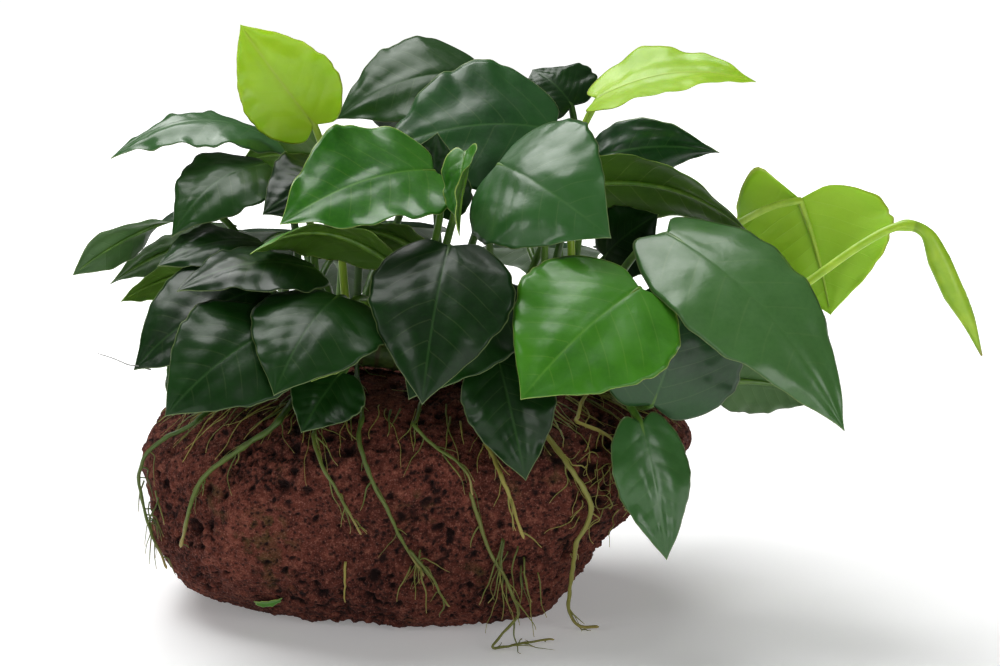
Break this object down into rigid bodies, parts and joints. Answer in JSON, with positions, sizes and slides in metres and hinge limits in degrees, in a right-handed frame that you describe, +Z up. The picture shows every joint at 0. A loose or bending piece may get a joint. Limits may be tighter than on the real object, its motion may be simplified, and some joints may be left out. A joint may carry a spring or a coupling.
{
  "type": "anubias on stone",
  "caption": "Clump of broad-leaved dwarf anubias rooted over a loose lump of porous reddish-brown lava stone with a worn flat underside.",
  "frame": {"origin": "middle of the stone's worn flat underside", "axes": "+Z up; +X along the stone's long side, the way the rolled new leaf reaches; -Y is the side that most leaves lean over"},
  "size_m": [0.2992, 0.1846, 0.1984],
  "materials": {
    "stone": "matte",
    "rhizome": "satin",
    "root": "satin",
    "leaf_dark": "gloss",
    "leaf_mid": "gloss",
    "leaf_fresh": "gloss",
    "leaf_young": "satin"
  },
  "bodies": {
    "root": {"stone": "stone", "rhizome": "rhizome", "rhizome_fork_left": "rhizome", "rhizome_fork_right": "rhizome", "leaf_rolled": "leaf_young", "leaf_front_right": "leaf_mid", "leaf_front_heart": "leaf_fresh", "leaf_front_glossy": "leaf_dark", "leaf_centre": "leaf_mid", "leaf_top_large": "leaf_mid", "leaf_bright_wavy": "leaf_fresh", "leaf_top_lime": "leaf_young", "leaf_right_lime": "leaf_young", "leaf_far_right_lime": "leaf_young", "leaf_right_arched": "leaf_fresh", "leaf_right_behind": "leaf_mid", "leaf_hanging_right": "leaf_mid", "leaf_hanging_centre": "leaf_dark", "leaf_long_left": "leaf_mid", "leaf_left_low": "leaf_dark", "leaf_left_outer": "leaf_dark", "leaf_left_inner": "leaf_dark", "leaf_left_upper": "leaf_dark", "leaf_left_small": "leaf_dark", "leaf_olive_under": "leaf_fresh", "leaf_twisted_left": "leaf_mid", "leaf_green_under_left": "leaf_fresh", "leaf_left_flat": "leaf_dark", "leaf_left_mid": "leaf_dark", "leaf_front_behind": "leaf_dark", "leaf_top_back": "leaf_dark", "leaf_small_twisted": "leaf_fresh", "leaf_right_low_pale": "leaf_mid", "leaf_right_small": "leaf_dark", "leaf_edge_green": "leaf_fresh", "leaf_low_front": "leaf_dark", "leaf_folded_left": "leaf_mid", "leaf_centre_dark": "leaf_dark", "leaf_centre_under": "leaf_fresh", "leaf_right_twisted": "leaf_mid", "leaf_top_small": "leaf_dark", "leaf_pale_back": "leaf_mid", "leaf_backlit_left": "leaf_fresh", "leaf_pale_left": "leaf_mid", "leaf_back_left": "leaf_dark", "leaf_back_middle": "leaf_dark", "leaf_back_right": "leaf_mid", "leaf_back_far_right": "leaf_dark", "leaf_back_low": "leaf_dark", "leaf_back_top": "leaf_dark", "root_left_edge": "root", "root_left_front": "root", "root_front_short": "root", "root_front_long": "root", "root_front_fork": "root", "root_middle_dark": "root", "root_pale_thick": "root", "root_trailing": "root", "root_right_long": "root", "root_right_pale": "root"}
  },
  "joints": []
}
